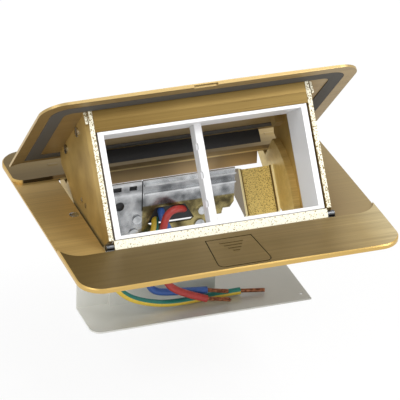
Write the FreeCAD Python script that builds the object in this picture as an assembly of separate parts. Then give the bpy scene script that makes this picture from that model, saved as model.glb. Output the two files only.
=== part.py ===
"""Pop-up floor socket box: brass base plate, sprung lid with module carriage, latch, cable tray.

Millimetres. X to the right, Y to the back, Z up. The origin lies on the floor surface, under the
middle of the base plate. The carriage is drawn shut, with its lid level, and then swung open
about the hinge, because open is the rest pose.
"""
import FreeCAD
import Part
import math
import os

from FreeCAD import Vector as V

# ---------------------------------------------------------------- driving dimensions
PLATE_WIDTH = 150.0          # X, whole plate
PLATE_DEPTH = 130.0          # Y
CORNER_R = 11.0              # plan corners of plate and lid
RIM_HEIGHT = 2.5             # crown height halfway along each edge of the plate
CROWN_HEIGHT = 3.0           # crown height in the middle
ZONE_TOP = 0.9               # top of the thin side zones that the lid covers
LID_FRONT = -35.35           # front edge of the shut lid
SEAM = 0.45                  # seam between lid and strips
HINGE_Y = 47.25              # hinge axis, just below the floor
HINGE_Z = -0.6
OPEN_ANGLE = 47.8            # degrees from shut to open
REAR_R = 11.0                # front face of the rear strip, round the hinge axis
REAR_CORNER_R = 5.8          # its two front corners
REAR_CORNER_OUT = 0.15       # how far the corner circles would pass the plate's sides
WELL_HALF = 54.5             # half width of the opening in the plate
WELL_BACK = 36.4             # back wall of the opening
SKIRT_DEPTH = 6.8            # flange round the opening, below the floor
SKIRT_WALL = 2.0
CHEEK_OUT = 53.5             # outer faces of the carriage
CHEEK_WALL = 3.0
FACE_Y = -20.35              # front face of the module frame at its top edge, shut
FACE_Z = -8.2
FACE_LEAN = 12.65            # degrees that the face leans back from vertical, shut
FRAME_WIDTH = 99.0           # white module frame, four modules wide
FRAME_HEIGHT = 47.9
FRAME_DEPTH = 20.0
WINDOW = 45.0                # square module window
MULLION = 3.7                # bar between the windows
TRAY_TOP = -52.7             # upper face of the tray floor, open
SHEET = 0.8                  # steel sheet
WIRE_R = 1.7                 # insulated conductor
CORE_R = 0.95                # bare copper

CHEEK_IN = CHEEK_OUT - CHEEK_WALL
HINGE = V(0, HINGE_Y, HINGE_Z)
X_AXIS = V(1, 0, 0)
Y_AXIS = V(0, 1, 0)
Z_AXIS = V(0, 0, 1)

os.makedirs("parts", exist_ok=True)
written = {}


# ---------------------------------------------------------------- small helpers
def box(x0, x1, y0, y1, z0, z1):
    """A box from its lowest to its highest corner."""
    return Part.makeBox(x1 - x0, y1 - y0, z1 - z0, V(x0, y0, z0))


def rod(radius, start, end):
    """A round rod from one point to another."""
    run = end.sub(start)
    return Part.makeCylinder(radius, run.Length, start, run)


def prism_x(points, x0, x1):
    """A (y, z) outline pushed along X from x0 to x1."""
    loop = [V(x0, y, z) for y, z in points]
    face = Part.Face(Part.makePolygon(loop + loop[:1]))
    return face.extrude(V(x1 - x0, 0, 0))


def prism_z(points, z0, z1):
    """An (x, y) outline pushed up from z0 to z1."""
    loop = [V(x, y, z0) for x, y in points]
    face = Part.Face(Part.makePolygon(loop + loop[:1]))
    return face.extrude(V(0, 0, z1 - z0))


def arc_outline_x(parts_of_outline, x0, x1):
    """A (y, z) outline of lines and three-point arcs, pushed along X."""
    edges = []
    for piece in parts_of_outline:
        ends = [V(x0, y, z) for y, z in piece]
        if len(ends) == 3:
            edges.append(Part.Arc(*ends).toShape())
        else:
            edges.append(Part.LineSegment(*ends).toShape())
    return Part.Face(Part.Wire(edges)).extrude(V(x1 - x0, 0, 0))


def upright_edges(shape, wanted=lambda middle: True):
    """Edges parallel to Z whose middle passes the test."""
    found = []
    for edge in shape.Edges:
        a, b = edge.Vertexes[0].Point, edge.Vertexes[-1].Point
        if abs(a.x - b.x) < 1e-6 and abs(a.y - b.y) < 1e-6 and abs(a.z - b.z) > 1e-6:
            if wanted((a + b) * 0.5):
                found.append(edge)
    return found


def rounded_slab(x0, x1, y0, y1, z0, z1, radius, wanted=lambda middle: True):
    """A box with chosen upright edges rounded."""
    slab = box(x0, x1, y0, y1, z0, z1)
    return slab.makeFillet(radius, upright_edges(slab, wanted))


def mirror_x(shape):
    """The same shape on the other side of X = 0."""
    return shape.mirror(V(0, 0, 0), X_AXIS)


def pair(shape):
    """A shape and its mirror image, as separate solids."""
    return Part.Compound([shape, mirror_x(shape)])


def swing_open(shape):
    """Turn a piece of the shut carriage to its open place."""
    turned = shape.copy()
    turned.rotate(HINGE, X_AXIS, -OPEN_ANGLE)
    return turned


def face_y(z):
    """Y of the carriage's leaning front face at height z, shut."""
    return FACE_Y + (FACE_Z - z) * math.tan(math.radians(FACE_LEAN))


def on_face(shape):
    """Place a piece drawn flat (X right, Y back, Z up from the top edge) on the leaning face."""
    placed = shape.copy()
    placed.rotate(V(0, 0, 0), X_AXIS, FACE_LEAN)
    placed.translate(V(0, FACE_Y, FACE_Z))
    return placed


def save(node, shape):
    """Write one node as STEP and keep its volume for the summary."""
    solids = shape.Solids
    assert solids and shape.isValid(), node
    whole = solids[0] if len(solids) == 1 else Part.Compound(solids)
    whole.exportStep("parts/" + node + ".step")
    facets = len(whole.tessellate(0.1)[1])
    written[node] = (len(solids), whole.Volume, facets)


# ---------------------------------------------------------------- crown shared by plate, button and lid
def crown_block():
    """The pillow-shaped envelope of the shut box: a doubly arched top inside a rounded outline."""
    half_w, half_d = PLATE_WIDTH / 2, PLATE_DEPTH / 2
    sag = CROWN_HEIGHT - RIM_HEIGHT
    turning_radius = half_d ** 2 / (2 * sag)
    axis_z = CROWN_HEIGHT - turning_radius
    reach = half_w + 6
    edge_z = CROWN_HEIGHT - sag * (reach / half_w) ** 2
    top = Part.Arc(V(-reach, 0, edge_z), V(0, 0, CROWN_HEIGHT), V(reach, 0, edge_z)).toShape()
    sides = Part.makePolygon([V(reach, 0, edge_z), V(reach, 0, -20), V(-reach, 0, -20), V(-reach, 0, edge_z)])
    section = Part.Face(Part.Wire([top] + sides.Edges))
    swing = math.degrees((half_d + 6) / turning_radius)
    section.rotate(V(0, 0, axis_z), X_AXIS, -swing)
    pillow = section.revolve(V(0, 0, axis_z), X_AXIS, 2 * swing)
    outline = rounded_slab(-half_w, half_w, -half_d, half_d, 0, CROWN_HEIGHT + 1, CORNER_R)
    return outline.common(pillow)


CROWN = crown_block()


def hinge_barrel(radius, x0, x1):
    """A cylinder round the hinge axis."""
    return Part.makeCylinder(radius, x1 - x0, V(x0, HINGE_Y, HINGE_Z), X_AXIS)


def rounded_barrel(radius, corner):
    """The rear strip's front face with its rounded ends, as a body of revolution."""
    half = PLATE_WIDTH / 2 + REAR_CORNER_OUT - REAR_CORNER_R + corner
    barrel = hinge_barrel(radius, -half, half)
    ends = [e for e in barrel.Edges if e.BoundBox.XLength < 1e-6]
    return barrel.makeFillet(corner, ends)


# ---------------------------------------------------------------- latch button outline
BUTTON_BACK = -40.3          # rear edge of the button
BUTTON_FRONT = -62.6
BUTTON_BACK_HALF = 10.5
BUTTON_FRONT_HALF = 12.3
BUTTON_GAP = 0.42
BUTTON_UNDERSIDE = 1.3
BUTTON_TRAVEL = 2.0


def button_prism(grow, z0, z1):
    """The button's trapezoid, wider at the front, with rounded front corners."""
    back, front = BUTTON_BACK + grow, BUTTON_FRONT - grow
    wide, narrow = BUTTON_FRONT_HALF + grow, BUTTON_BACK_HALF + grow
    block = prism_z([(-wide, front), (wide, front), (narrow, back), (-narrow, back)], z0, z1)
    front_edges = upright_edges(block, lambda middle: middle.y < front + 1)
    return block.makeFillet(2.4 + grow, front_edges)


# ---------------------------------------------------------------- base frame
LUG_R = 3.3                  # hinge lugs under the rear strip
LUG_INNER = (42.6, 47.0)
LUG_OUTER = (51.2, 55.6)
PIN_R = 1.4
EYE_CLEARANCE = 0.05
EYE_R = 2.3
POCKET_TOP = 1.9             # pocket under the rear strip for the hinge eyes
ARM_X = (47.3, CHEEK_IN)
CLAW_X = 64.0                # four tapped holes for the claws that grip the floor box
CLAW_Y = 50.0
CLAW_R = 1.65
CLAW_DEPTH = 2.0
SPRING_X = 37.3              # inboard end of each hinge spring
LATCH_RECESS = 0.3           # shallow recess that keeps the latch housing off the floor face


def base_frame():
    """Front strip, side zones, rear strip and the flanged opening, cast in one."""
    top_rim = [e for e in CROWN.Edges if e.BoundBox.ZMin > RIM_HEIGHT - 0.8]
    body = CROWN.makeChamfer(0.5, top_rim)
    half_w = PLATE_WIDTH / 2
    front = LID_FRONT - SEAM
    # the lid's seat: its outline with a seam, down to the side zones, up to the round rear strip
    seat = rounded_slab(-half_w - 0.2, half_w + 0.2, front, HINGE_Y, ZONE_TOP, 9, CORNER_R,
                        lambda middle: middle.y < 0)
    past_sides = box(-half_w - 2, half_w + 2, front + CORNER_R, HINGE_Y, ZONE_TOP, 9)
    seat = seat.fuse(past_sides).cut(rounded_barrel(REAR_R, REAR_CORNER_R))
    body = body.cut(seat)
    # flange round the opening, below the floor
    outer = rounded_slab(-WELL_HALF - SKIRT_WALL, WELL_HALF + SKIRT_WALL, front - SKIRT_WALL,
                         WELL_BACK + 0.9 + SKIRT_WALL, -SKIRT_DEPTH, 0, 4.0)
    body = body.fuse(outer)
    well = rounded_slab(-WELL_HALF, WELL_HALF, front, WELL_BACK, -SKIRT_DEPTH - 1, 9, 2.0)
    body = body.cut(well)
    # the back wall is stepped twice under the strip's lip
    behind = box(-44.0, 44.0, WELL_BACK - 1, WELL_BACK + 0.9, -SKIRT_DEPTH - 1, 0)
    ledge = box(-44.0, 44.0, WELL_BACK - 1, WELL_BACK + 0.45, -0.5, 0.45)
    body = body.cut(behind).cut(ledge)
    # gaps in the flange for the hinge arms and for the latch
    arm_gap = box(44.0, WELL_HALF, 30, WELL_BACK + 6, -SKIRT_DEPTH - 1, 0)
    body = body.cut(pair(arm_gap))
    latch_gap = box(-13, 13, front - SKIRT_WALL - 1, front + 1, -SKIRT_DEPTH - 1, 0)
    body = body.cut(latch_gap)
    # pockets for the hinge eyes, with a lug at each side of every eye
    lug_front, lug_back = HINGE_Y - LUG_R, HINGE_Y + LUG_R
    pocket = box(SPRING_X - 0.9, LUG_OUTER[1] + 0.3, 39.4, lug_back + 1.4, -1, POCKET_TOP)
    body = body.cut(pair(pocket))
    for x0, x1 in (LUG_INNER, LUG_OUTER):
        lug = box(x0, x1, lug_front, lug_back, HINGE_Z, POCKET_TOP).fuse(hinge_barrel(LUG_R, x0, x1))
        body = body.fuse(pair(lug))
    bore = hinge_barrel(PIN_R, LUG_INNER[0] - 1, LUG_OUTER[1] + 1)
    body = body.cut(pair(bore))
    # button pocket, slot for the latch tongue, tapped holes for the claws
    body = body.cut(button_prism(BUTTON_GAP, -1, 9))
    body = body.cut(box(-5.5, 5.5, -39.4, front + 1, -1, 2.2))
    body = body.cut(box(-18.4, 18.4, -50.4, front - SKIRT_WALL, -1, LATCH_RECESS))
    body = body.cut(box(-13.0, 13.0, front - SKIRT_WALL - 1, front + 1, -1, LATCH_RECESS))
    for x in (-CLAW_X, CLAW_X):
        for y in (-CLAW_Y, CLAW_Y):
            body = body.cut(Part.makeCylinder(CLAW_R, CLAW_DEPTH, V(x, y, 0)))
    return body


save("base_frame", base_frame())

# ---------------------------------------------------------------- hinge pins, springs, studs
save("hinge_pins", pair(hinge_barrel(PIN_R, 36.6, LUG_OUTER[1])))


def coil_spring(radius, pitch, turns, wire):
    """A coil of square wire that stands up from the origin."""
    helix = Part.makeHelix(pitch, turns * pitch, radius)
    corners = [V(radius - wire, 0, -wire), V(radius + wire, 0, -wire), V(radius + wire, 0, wire),
               V(radius - wire, 0, wire)]
    section = Part.makePolygon(corners + corners[:1])
    return Part.Wire(helix.Edges).makePipeShell([section], True, True)


def hinge_spring():
    """A torsion spring of four turns round the pin, beside the inner lug."""
    coil = coil_spring(1.9, 1.15, 4, 0.35)
    coil.rotate(V(0, 0, 0), Y_AXIS, 90)
    coil.translate(V(SPRING_X, HINGE_Y, HINGE_Z))
    return coil


save("hinge_springs", pair(hinge_spring()))

STUD_X, STUD_Y, STUD_R = 57.4, 2.6, 2.3


def rest_stud():
    """A low domed stud that the lid's underside comes down on."""
    ball = Part.makeSphere(5.2, V(STUD_X, STUD_Y, ZONE_TOP + 0.55 - 5.2))
    dome = ball.common(Part.makeCylinder(STUD_R, 2, V(STUD_X, STUD_Y, ZONE_TOP)))
    return dome


save("rest_studs", pair(rest_stud()))

# ---------------------------------------------------------------- latch: button, slider, housing
CAM_FRONT = -48.6            # y + z of the cam stem's front face, a 45 degree plane
CAM_BACK = -44.6
CAM_GAP = 0.3
SLIDER_Z = (-2.6, -1.6)
SLIDER_HALF = 7.0


def cam_prism(front, back, top, bottom, half_width):
    """A leaning bar between two 45 degree faces."""
    outline = [(front - top, top), (back - top, top), (back - bottom, bottom), (front - bottom, bottom)]
    return prism_x(outline, -half_width, half_width)


def latch_button():
    """Trapezoid cap on the crown surface, four raised lines that taper to the front, cam stem."""
    cap = CROWN.common(button_prism(0, BUTTON_UNDERSIDE, 9))
    for y, half in ((-43.7, 5.5), (-46.0, 4.1), (-48.3, 3.0), (-50.6, 1.5)):
        line = box(-half, half, y - 0.35, y + 0.35, BUTTON_UNDERSIDE + 0.3, crown_at(y) + 0.22)
        cap = cap.fuse(line)
    stem = cam_prism(CAM_FRONT, CAM_BACK, BUTTON_UNDERSIDE + 0.2, -4.5, 3.5)
    return cap.fuse(stem)


def crown_at(y):
    """Height of the crown at this y, halfway across."""
    rise = CROWN_HEIGHT - RIM_HEIGHT
    return RIM_HEIGHT + rise * (1 - (2 * y / PLATE_DEPTH) ** 2)


save("latch_button", latch_button())


def latch_slider():
    """Flat slider with a window for the cam stem and an upturned tongue."""
    plate = box(-SLIDER_HALF, SLIDER_HALF, -49.6, -37.2, *SLIDER_Z)
    tongue = box(-5.0, 5.0, -37.2, -36.15, SLIDER_Z[0], 1.9)
    window = cam_prism(CAM_FRONT - CAM_GAP, CAM_BACK + CAM_GAP, 0, -4, 3.9)
    return plate.fuse(tongue).cut(window)


save("latch_slider", latch_slider())

HOUSING_Y = (-49.3, -38.9)
HOUSING_Z = -9.5
HOUSING_TOP = -1.0           # under the pressed button


def latch_housing():
    """Open-topped moulded box with a slot through both end walls that guides the slider."""
    shell = box(-12, 12, HOUSING_Y[0], HOUSING_Y[1], HOUSING_Z, LATCH_RECESS)
    hollow = box(-8.8, 8.8, HOUSING_Y[0] + 1.2, HOUSING_Y[1] - 1.2, HOUSING_Z + 1.2, 1)
    slot = box(-SLIDER_HALF - 0.2, SLIDER_HALF + 0.2, HOUSING_Y[0] - 1, HOUSING_Y[1] + 1,
               SLIDER_Z[0] - 0.1, 1)
    shell = shell.cut(hollow).cut(slot)
    shell = shell.cut(box(-12.8, 12.8, HOUSING_Y[0] - 1, BUTTON_BACK + 0.4, HOUSING_TOP, 1))
    for x in (-14.4, 14.4):
        ear = box(x - 2.8, x + 2.8, -46.6, -41.6, -2.0, LATCH_RECESS)
        shell = shell.fuse(ear)
    for x in (-15.0, 15.0):
        shell = shell.cut(Part.makeCylinder(0.95, 4, V(x, -44.1, -3)))
    return shell


save("latch_housing", latch_housing())
save("latch_screws", pair(rod(1.7, V(15, -44.1, -3.0), V(15, -44.1, -2.0)).fuse(
    rod(0.95, V(15, -44.1, -2.0), V(15, -44.1, LATCH_RECESS)))))


def button_spring():
    """Compression spring between the housing floor and the cam stem."""
    turns, wire = 3, 0.28
    bottom, top = HOUSING_Z + 1.2 + wire, -4.5 - wire
    coil = coil_spring(1.5, (top - bottom) / turns, turns, wire)
    coil.translate(V(0, -42.1, bottom))
    return coil


save("button_spring", button_spring())

# ---------------------------------------------------------------- lid
LID_RIM_UNDER = 1.2          # underside of the lid's rim, shut
LID_FIELD_UNDER = 1.5        # underside inside the gasket
LID_GAP = 0.35               # between the lid's rear edge and the strip
LID_BACK_R = REAR_R + LID_GAP
GASKET_INSET = 5.5
GASKET_WIDTH = 6.5
GASKET_FACE = 1.15


def ring_slab(inset, z0, z1, back):
    """The lid's outline drawn in by an inset, as a slab."""
    half_w = PLATE_WIDTH / 2 - inset
    return rounded_slab(-half_w, half_w, LID_FRONT + inset, back, z0, z1, CORNER_R - inset * 0.6,
                        lambda middle: middle.y < 0)


def lid_shut():
    """Crowned lid with a rim, a gasket groove and lugs for the cheek screws."""
    plan = ring_slab(0, LID_RIM_UNDER, 9, 46)
    lid = CROWN.common(plan).cut(rounded_barrel(LID_BACK_R, REAR_CORNER_R + LID_GAP))
    field = ring_slab(GASKET_INSET, 0, LID_FIELD_UNDER, 33.4)
    lid = lid.cut(field)
    notch = box(-5.6, 5.6, LID_FRONT - 1, LID_FRONT + 1.2, 0, 2.2)
    lid = lid.cut(notch)
    for y in CHEEK_SCREW_Y:
        lug = box(CHEEK_IN - 4, CHEEK_IN, y - 3, y + 3, -3.7, LID_FIELD_UNDER)
        lug = lug.cut(rod(SCREW_R, V(CHEEK_IN - 3.5, y, CHEEK_SCREW_Z), V(CHEEK_IN + 1, y, CHEEK_SCREW_Z)))
        lid = lid.fuse(pair(lug))
    rim = [e for e in lid.Edges if e.BoundBox.ZMin > RIM_HEIGHT - 0.8 and rim_or_front(e)]
    try:
        softened = lid.makeFillet(0.5, rim)
        if softened.isValid() and len(softened.Solids) == 1:
            lid = softened
    except Exception as problem:
        print("lid rim left sharp", problem)
    return lid


def rim_or_front(edge):
    """True for a top edge on the lid's sides or front."""
    middle = edge.valueAt((edge.FirstParameter + edge.LastParameter) / 2)
    if abs(middle.x) > PLATE_WIDTH / 2 - 0.05:
        return middle.y < 30
    return middle.y < LID_FRONT + CORNER_R - 0.5


SCREW_R = 1.25
SCREW_HEAD_R = 2.2
CHEEK_SCREW_Y = (-4.5, 17.5)
CHEEK_SCREW_Z = -1.2

save("lid", swing_open(lid_shut()))


def gasket_shut():
    """Flat rubber ring in the lid's groove."""
    outer = ring_slab(GASKET_INSET + 0.1, GASKET_FACE, LID_FIELD_UNDER, 33.3)
    inner = ring_slab(GASKET_INSET + GASKET_WIDTH, 0, 3, 33.3 - 4.5)
    return outer.cut(inner)


save("lid_gasket", swing_open(gasket_shut()))


def rear_seal_shut():
    """Rubber apron under the lid's rear edge, curved round the hinge axis."""
    outer, inner = hinge_barrel(LID_BACK_R + 1.15, -46.0, 45.0), hinge_barrel(LID_BACK_R + 0.1, -47, 46)
    apron = outer.cut(inner)
    reach = 14.0
    keep = prism_x([(HINGE_Y, 0), (HINGE_Y - reach, 0),
                    (HINGE_Y - reach * math.cos(math.radians(24)), -reach * math.sin(math.radians(24)))],
                   -47, 46)
    upper = box(-47, 46, HINGE_Y - reach, HINGE_Y - 9, 0, LID_RIM_UNDER)
    return apron.common(keep.fuse(upper))


save("rear_seal", swing_open(rear_seal_shut()))

# ---------------------------------------------------------------- carriage: fascia, cheeks, sill
FASCIA_GAP = 0.1
SILL_Z = (-59.2, -55.3)


def fascia_shut():
    """Brushed bar of two facets that meet in a low ridge."""
    top, middle, bottom = LID_FIELD_UNDER, -3.3, FACE_Z + 0.15
    outline = [(face_y(top), top), (face_y(middle) - 0.5, middle), (face_y(bottom) - 0.1, bottom),
               (face_y(bottom) + 4.0, bottom + 0.95), (face_y(top) + 4.0, top)]
    return prism_x(outline, -CHEEK_IN + FASCIA_GAP, CHEEK_IN - FASCIA_GAP)


save("fascia", swing_open(fascia_shut()))

CHEEK_BACK = 26.0
BRACKET_SCREW_Y = (-1.2, 4.2)      # through the left cheek, carriage open
BRACKET_SCREW_Z = 6.8


def cheek_shut():
    """Right-hand cheek: a cast plate with a leaning front edge and a hollowed rear edge."""
    top = LID_FIELD_UNDER
    foot = -55.2
    plate = arc_outline_x(
        [[(face_y(top) - 0.3, top), (face_y(foot) - 0.3, foot)],
         [(face_y(foot) - 0.3, foot), (4.0, foot)],
         [(4.0, foot), (27.0, -44.0)],
         [(27.0, -44.0), (28.0, -37.0)],
         [(28.0, -37.0), (CHEEK_BACK, -20.0), (28.6, -9.0)],
         [(28.6, -9.0), (30.6, -3.5)],
         [(30.6, -3.5), (28.0, top)],
         [(28.0, top), (face_y(top) - 0.3, top)]], CHEEK_IN, CHEEK_OUT)
    # the front edge is stepped back at the top, beside the fascia
    step = box(CHEEK_OUT - 1.3, CHEEK_OUT + 1, face_y(top) - 1, face_y(top) + 1.6, -2.2, top + 1)
    plate = plate.cut(step)
    # a long chamfer down the outer front edge
    front = face_y(top) - 0.3
    wedge = prism_z([(CHEEK_OUT - 1.0, front - 0.5), (CHEEK_OUT + 0.1, front - 0.5),
                     (CHEEK_OUT + 0.1, front + 4.6)], top, top + 1)
    run = V(0, face_y(foot - 1) - face_y(top), foot - 1 - top)
    plate = plate.cut(wedge.Faces[wedge_base(wedge)].extrude(run))
    ear = box(CHEEK_OUT - 0.5, CHEEK_OUT + 0.6, -25.0 + 3.4, -25.0 + 5.6, -4.2, top)
    plate = plate.fuse(ear)
    for y, z in carriage_screws():
        plate = plate.cut(rod(SCREW_R, V(CHEEK_IN - 1, y, z), V(CHEEK_OUT + 1, y, z)))
    for y, z in ARM_RIVETS:
        plate = plate.cut(rod(RIVET_R, V(CHEEK_IN - 1, y, z), V(CHEEK_OUT + 1, y, z)))
    return plate


def wedge_base(shape):
    """Index of a prism's lowest face."""
    return min(range(len(shape.Faces)), key=lambda i: shape.Faces[i].CenterOfMass.z)


ARM_RIVETS = ((24.4, -13.4), (22.8, -31.0))
RIVET_R = 1.4


def frame_screw_places():
    """Centres of the module frame's side screws, shut."""
    places = []
    for down in (9.0, FRAME_HEIGHT - 9.0):
        spot = on_face(Part.Vertex(0, 7.0, -down)).Point
        places.append((spot.y, spot.z))
    return places


def carriage_screws():
    """All screws that go through a cheek, as (y, z)."""
    return [(y, CHEEK_SCREW_Z) for y in CHEEK_SCREW_Y] + frame_screw_places()


right_cheek = cheek_shut()
save("cheek_right", swing_open(right_cheek))
left_cheek = swing_open(mirror_x(right_cheek))
for y in BRACKET_SCREW_Y:
    left_cheek = left_cheek.cut(rod(SCREW_R, V(-CHEEK_OUT - 2, y, BRACKET_SCREW_Z),
                                    V(-CHEEK_IN + 1, y, BRACKET_SCREW_Z)))
save("cheek_left", left_cheek)


def side_screw(y, z, tip_x):
    """A pan head screw from outside the right cheek."""
    head = rod(SCREW_HEAD_R, V(CHEEK_OUT, y, z), V(CHEEK_OUT + 0.6, y, z))
    head = head.cut(box(CHEEK_OUT + 0.3, CHEEK_OUT + 1, y - 0.3, y + 0.3, z - 3, z + 3))
    return head.fuse(rod(SCREW_R, V(tip_x, y, z), V(CHEEK_OUT, y, z)))


save("cheek_screws", swing_open(Part.Compound(
    [pair(side_screw(y, CHEEK_SCREW_Z, CHEEK_IN - 3.4)) for y in CHEEK_SCREW_Y])))
save("frame_screws", swing_open(Part.Compound(
    [pair(rod(SCREW_R, V(CHEEK_IN - 2.4, y, z), V(CHEEK_OUT, y, z))) for y, z in frame_screw_places()])))


def sill_shut():
    """Raw cast bar under the module frame."""
    low, high = SILL_Z
    outline = [(face_y(high) - 0.1, high), (face_y(low) - 0.1, low), (face_y(low) + 4.0, low),
               (face_y(low) + 9.0, high)]
    return prism_x(outline, -CHEEK_IN + 0.05, CHEEK_IN - 0.05)


STOP_PIN = V(0, face_y(-57.3) + 1.9, -57.3)
STOP_PIN_R = 1.6
sill_bore = rod(STOP_PIN_R, V(46, STOP_PIN.y, STOP_PIN.z), V(56, STOP_PIN.y, STOP_PIN.z))
save("sill_strip", swing_open(sill_shut().cut(pair(sill_bore))))
stop_pin = rod(STOP_PIN_R, V(46, STOP_PIN.y, STOP_PIN.z), V(54.0, STOP_PIN.y, STOP_PIN.z))
save("stop_pins", swing_open(pair(stop_pin)))

# ---------------------------------------------------------------- module frame
def module_frame_shut():
    """White moulded frame: two square windows, a bar set back between them, clip notches."""
    half_w = FRAME_WIDTH / 2
    rim = (FRAME_HEIGHT - WINDOW) / 2
    shell = box(-half_w, half_w, 0, FRAME_DEPTH, -FRAME_HEIGHT, 0)
    opening = box(-WINDOW - MULLION / 2, WINDOW + MULLION / 2, -1, FRAME_DEPTH + 1,
                  -FRAME_HEIGHT + rim, -rim)
    shell = shell.cut(opening)
    bar = rounded_slab(-MULLION / 2, MULLION / 2, 9.0, 16.0, -FRAME_HEIGHT + rim - 0.5, -rim + 0.5, 0.8)
    for row in range(3):
        z = -10.0 - row * 13.0
        notch = box(-MULLION / 2 - 1, -MULLION / 2 + 0.7, 8.0, 11.0, z - 3.0, z)
        bar = bar.cut(notch)
    shell = shell.fuse(bar)
    for down in (9.0, FRAME_HEIGHT - 9.0):
        pad = rod(3.2, V(half_w - 0.5, 7.0, -down), V(CHEEK_IN, 7.0, -down))
        shell = shell.fuse(pair(pad))
    shell = on_face(shell)
    for y, z in frame_screw_places():
        hole = rod(SCREW_R, V(half_w - 1.4, y, z), V(CHEEK_IN + 1, y, z))
        shell = shell.cut(pair(hole))
    return shell


save("module_frame", swing_open(module_frame_shut()))


# ---------------------------------------------------------------- hinge arms and cable trough
def arm_shut():
    """Right-hand arm: a bowed plate on the cheek that necks down to the hinge eye."""
    x0, x1 = ARM_X
    plate = arc_outline_x(
        [[(26.2, -7.6), (19.2, -23.0), (24.0, -48.0)],
         [(24.0, -48.0), (32.5, -46.5)],
         [(32.5, -46.5), (43.6, -27.0), (49.4, -2.2)],
         [(49.4, -2.2), (45.2, -1.8)],
         [(45.2, -1.8), (40.4, -10.2)],
         [(40.4, -10.2), (26.2, -7.6)]], x0, x1)
    plate = plate.fuse(hinge_barrel(EYE_R, x0, x1))
    plate = plate.cut(hinge_barrel(PIN_R + EYE_CLEARANCE, x0 - 1, x1 + 1))
    for y, z in ARM_RIVETS:
        plate = plate.cut(rod(RIVET_R, V(x0 - 1, y, z), V(x1 + 1, y, z)))
    return plate


right_arm = arm_shut()
save("hinge_arm_right", swing_open(right_arm))
save("hinge_arm_left", swing_open(mirror_x(right_arm)))


def rivet(y, z):
    """A rivet through arm and cheek, flush at both ends."""
    return rod(RIVET_R, V(ARM_X[0], y, z), V(CHEEK_OUT, y, z))


save("arm_rivets", swing_open(Part.Compound([pair(rivet(y, z)) for y, z in ARM_RIVETS])))


def trough_shut():
    """Raw cast pocket: a leaning front plate between two ribs, with deep side walls."""
    lean = math.tan(math.radians(FACE_LEAN))
    z_top, z_foot = -17.4, -38.6
    y_top = 34.0

    def at_front(z, back=0.0):
        return y_top + (z_top - z) * lean + back

    def slab(x0, x1, front, back):
        return prism_x([(at_front(z_top, front), z_top), (at_front(z_foot, front), z_foot),
                        (at_front(z_foot, back), z_foot), (at_front(z_top, back), z_top)], x0, x1)

    right = ARM_X[0]
    front_plate = slab(30.0, right, 0.9, 2.7)
    rib = slab(30.0, 31.3, 0, 3)
    far_rib = slab(right - 1.5, right, 0, 3)
    wall = prism_x([(at_front(z_top), z_top), (at_front(z_foot), z_foot), (41.5, -37.6),
                    (48.6, -24.0), (39.3, -15.2)], 30.0, 31.6)
    return front_plate.fuse(rib).fuse(far_rib).fuse(wall)


save("cable_trough", swing_open(trough_shut()))

# ---------------------------------------------------------------- tray bracket, tray and clamp (drawn open)
BRACKET_Y = (8.4, 9.4)       # folded zinc-plated plate, upright when the lid is open
HOLE_LOW, HOLE_HIGH = -14.6, -5.4


def tray_bracket():
    """Folded bracket: cross bar with a channel, left and right arms, plate with the cable hole."""
    y0, y1 = BRACKET_Y
    plate = box(-46.0, 9.5, y0, y1, -19.0, 9.4)
    right_arm_plate = prism_y([(9.5, -9.5), (9.5, 9.4), (21.5, 9.4), (21.5, -8.0), (19.6, -10.8),
                               (16.2, -10.8), (15.6, -13.6), (13.4, -13.6), (12.8, -10.2)], y0, y1)
    plate = plate.fuse(right_arm_plate)
    # shallow channel along the top, pressed backwards
    channel = box(-22.5, 21.5, y0 - 1.6, y0, 2.6, 3.4).fuse(box(-22.5, 21.5, y0 - 1.6, y0, 7.0, 7.8))
    plate = plate.fuse(channel)
    hole = prism_y([(-20.4, HOLE_LOW + 1.5), (-18.4, HOLE_LOW), (0.6, HOLE_LOW), (2.2, HOLE_LOW + 1.5),
                    (-2.4, HOLE_HIGH), (-16.6, HOLE_HIGH)], y0 - 1, y1 + 1)
    plate = plate.cut(hole)
    plate = plate.cut(rod(2.3, V(-34.0, y0 - 3, -2.2), V(-34.0, y1 + 1, -2.2)))
    plate = plate.cut(box(-37.2, -33.2, y0 - 1, y1 + 1, 5.4, 7.6))
    plate = plate.cut(box(-29.4, -25.8, y0 - 1, y1 + 1, 5.2, 7.4))
    plate = plate.cut(box(-23.4, -22.9, y0 - 1, y1 + 1, -6.0, 10.0))
    # tab bent forward along the left cheek
    tab = box(-CHEEK_IN, -CHEEK_IN + 1.0, -3.6, y1, 4.2, 9.4)
    tab = tab.fuse(box(-CHEEK_IN, -46.0, y0, y1, 4.2, 9.4))
    for y in BRACKET_SCREW_Y:
        tab = tab.cut(rod(SCREW_R, V(-CHEEK_IN - 1, y, BRACKET_SCREW_Z),
                          V(-CHEEK_IN + 2, y, BRACKET_SCREW_Z)))
    plate = plate.fuse(tab)
    for x in TRAY_RIVET_X:
        plate = plate.cut(rod(RIVET_R, V(x, y0 - 1, -17.0), V(x, y1 + 1, -17.0)))
    for x in CLAMP_SCREW_X:
        plate = plate.cut(rod(1.2, V(x, y0 - 1, -10.0), V(x, y1 + 1, -10.0)))
    return plate


def prism_y(points, y0, y1):
    """An (x, z) outline pushed along Y from y0 to y1."""
    loop = [V(x, y0, z) for x, z in points]
    face = Part.Face(Part.makePolygon(loop + loop[:1]))
    return face.extrude(V(0, y1 - y0, 0))


TRAY_RIVET_X = (-42.5, -27.0, 5.0)
CLAMP_SCREW_X = (-25.5, 6.0)

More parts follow.
